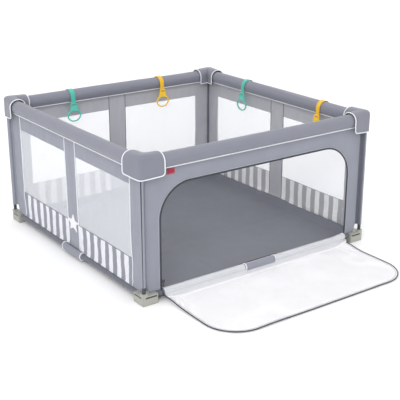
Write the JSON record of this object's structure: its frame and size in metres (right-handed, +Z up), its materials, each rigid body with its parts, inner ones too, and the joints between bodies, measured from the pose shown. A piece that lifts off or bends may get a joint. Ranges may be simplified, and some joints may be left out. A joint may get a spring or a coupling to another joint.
{
  "type": "playpen",
  "caption": "Square fabric playpen with padded rails, mesh windows, a zipped door that folds down flat to the floor, a floor mat and hanging pull rings",
  "frame": {"origin": "middle of the floor mat's underside, on the floor at the pen's centre", "axes": "+X to the right seen from the door side, +Y from the door to the back, +Z up"},
  "size_m": [1.304, 1.716, 0.656],
  "materials": {
    "dark_tube": "satin",
    "grey_moulding": "matte",
    "panel_cloth": "matte",
    "pad_cloth": "matte",
    "sleeve_cloth": "matte",
    "mat_cloth": "matte",
    "mesh_cloth": "matte",
    "teal_webbing": "satin",
    "yellow_webbing": "satin",
    "teal_plastic": "satin",
    "yellow_plastic": "satin",
    "dark_zinc": "satin",
    "red_label": "matte"
  },
  "bodies": {
    "frame": {"post_front_left": "dark_tube", "post_front_right": "dark_tube", "post_back_right": "dark_tube", "post_back_left": "dark_tube", "top_rail_front_plug_half": "dark_tube", "top_rail_front_socket_half": "dark_tube", "bottom_rail_front_plug_half": "dark_tube", "bottom_rail_front_socket_half": "dark_tube", "top_rail_right_plug_half": "dark_tube", "top_rail_right_socket_half": "dark_tube", "bottom_rail_right_plug_half": "dark_tube", "bottom_rail_right_socket_half": "dark_tube", "top_rail_back_plug_half": "dark_tube", "top_rail_back_socket_half": "dark_tube", "bottom_rail_back_plug_half": "dark_tube", "bottom_rail_back_socket_half": "dark_tube", "top_rail_left_plug_half": "dark_tube", "top_rail_left_socket_half": "dark_tube", "bottom_rail_left_plug_half": "dark_tube", "bottom_rail_left_socket_half": "dark_tube", "foot_bracket_front_left": "grey_moulding", "foot_bracket_front_right": "grey_moulding", "foot_bracket_back_right": "grey_moulding", "foot_bracket_back_left": "grey_moulding", "top_connector_front_left": "grey_moulding", "top_connector_front_right": "grey_moulding", "top_connector_back_right": "grey_moulding", "top_connector_back_left": "grey_moulding", "side_panel_front": "panel_cloth", "side_panel_right": "panel_cloth", "side_panel_back": "panel_cloth", "side_panel_left": "panel_cloth", "rail_pad_front": "pad_cloth", "rail_pad_right": "pad_cloth", "rail_pad_back": "pad_cloth", "rail_pad_left": "pad_cloth", "bottom_sleeve_front": "sleeve_cloth", "bottom_sleeve_right": "sleeve_cloth", "bottom_sleeve_back": "sleeve_cloth", "bottom_sleeve_left": "sleeve_cloth", "post_sleeve_front_left": "sleeve_cloth", "post_sleeve_front_right": "sleeve_cloth", "post_sleeve_back_right": "sleeve_cloth", "post_sleeve_back_left": "sleeve_cloth", "corner_cap_front_left": "pad_cloth", "corner_cap_front_right": "pad_cloth", "corner_cap_back_right": "pad_cloth", "corner_cap_back_left": "pad_cloth", "floor_mat": "mat_cloth", "side_tag": "red_label", "strap_back_left": "teal_webbing", "strap_back_right": "yellow_webbing", "strap_right_rear": "teal_webbing", "strap_right_front": "yellow_webbing"},
    "door_flap": {"door_flap": "mesh_cloth"},
    "zipper_slider": {"zipper_slider": "dark_zinc"},
    "pull_ring_back_left": {"pull_ring_back_left": "teal_plastic"},
    "pull_ring_back_right": {"pull_ring_back_right": "yellow_plastic"},
    "pull_ring_right_rear": {"pull_ring_right_rear": "teal_plastic"},
    "pull_ring_right_front": {"pull_ring_right_front": "yellow_plastic"}
  },
  "joints": [
    {"name": "door_fold", "type": "hinge", "parent": "frame", "child": "door_flap", "pos_m": [0, -0.5935, 0.0265], "axis": [-1, 0, 0], "range_deg": [0, 90]},
    {"name": "zip_travel", "type": "slide", "parent": "frame", "child": "zipper_slider", "axis": [0, 0, 1], "range_m": [0, 0.25]},
    {"name": "ring_swing_back_left", "type": "hinge", "parent": "frame", "child": "pull_ring_back_left", "pos_m": [-0.281, 0.5715, 0.578], "axis": [-1, 0, 0], "range_deg": [-8, 75]},
    {"name": "ring_swing_back_right", "type": "hinge", "parent": "frame", "child": "pull_ring_back_right", "pos_m": [0.269, 0.5715, 0.578], "axis": [-1, 0, 0], "range_deg": [-8, 75]},
    {"name": "ring_swing_right_rear", "type": "hinge", "parent": "frame", "child": "pull_ring_right_rear", "pos_m": [0.5715, 0.251, 0.578], "axis": [0, 1, 0], "range_deg": [-8, 75]},
    {"name": "ring_swing_right_front", "type": "hinge", "parent": "frame", "child": "pull_ring_right_front", "pos_m": [0.5715, -0.343, 0.578], "axis": [0, 1, 0], "range_deg": [-8, 75]}
  ]
}
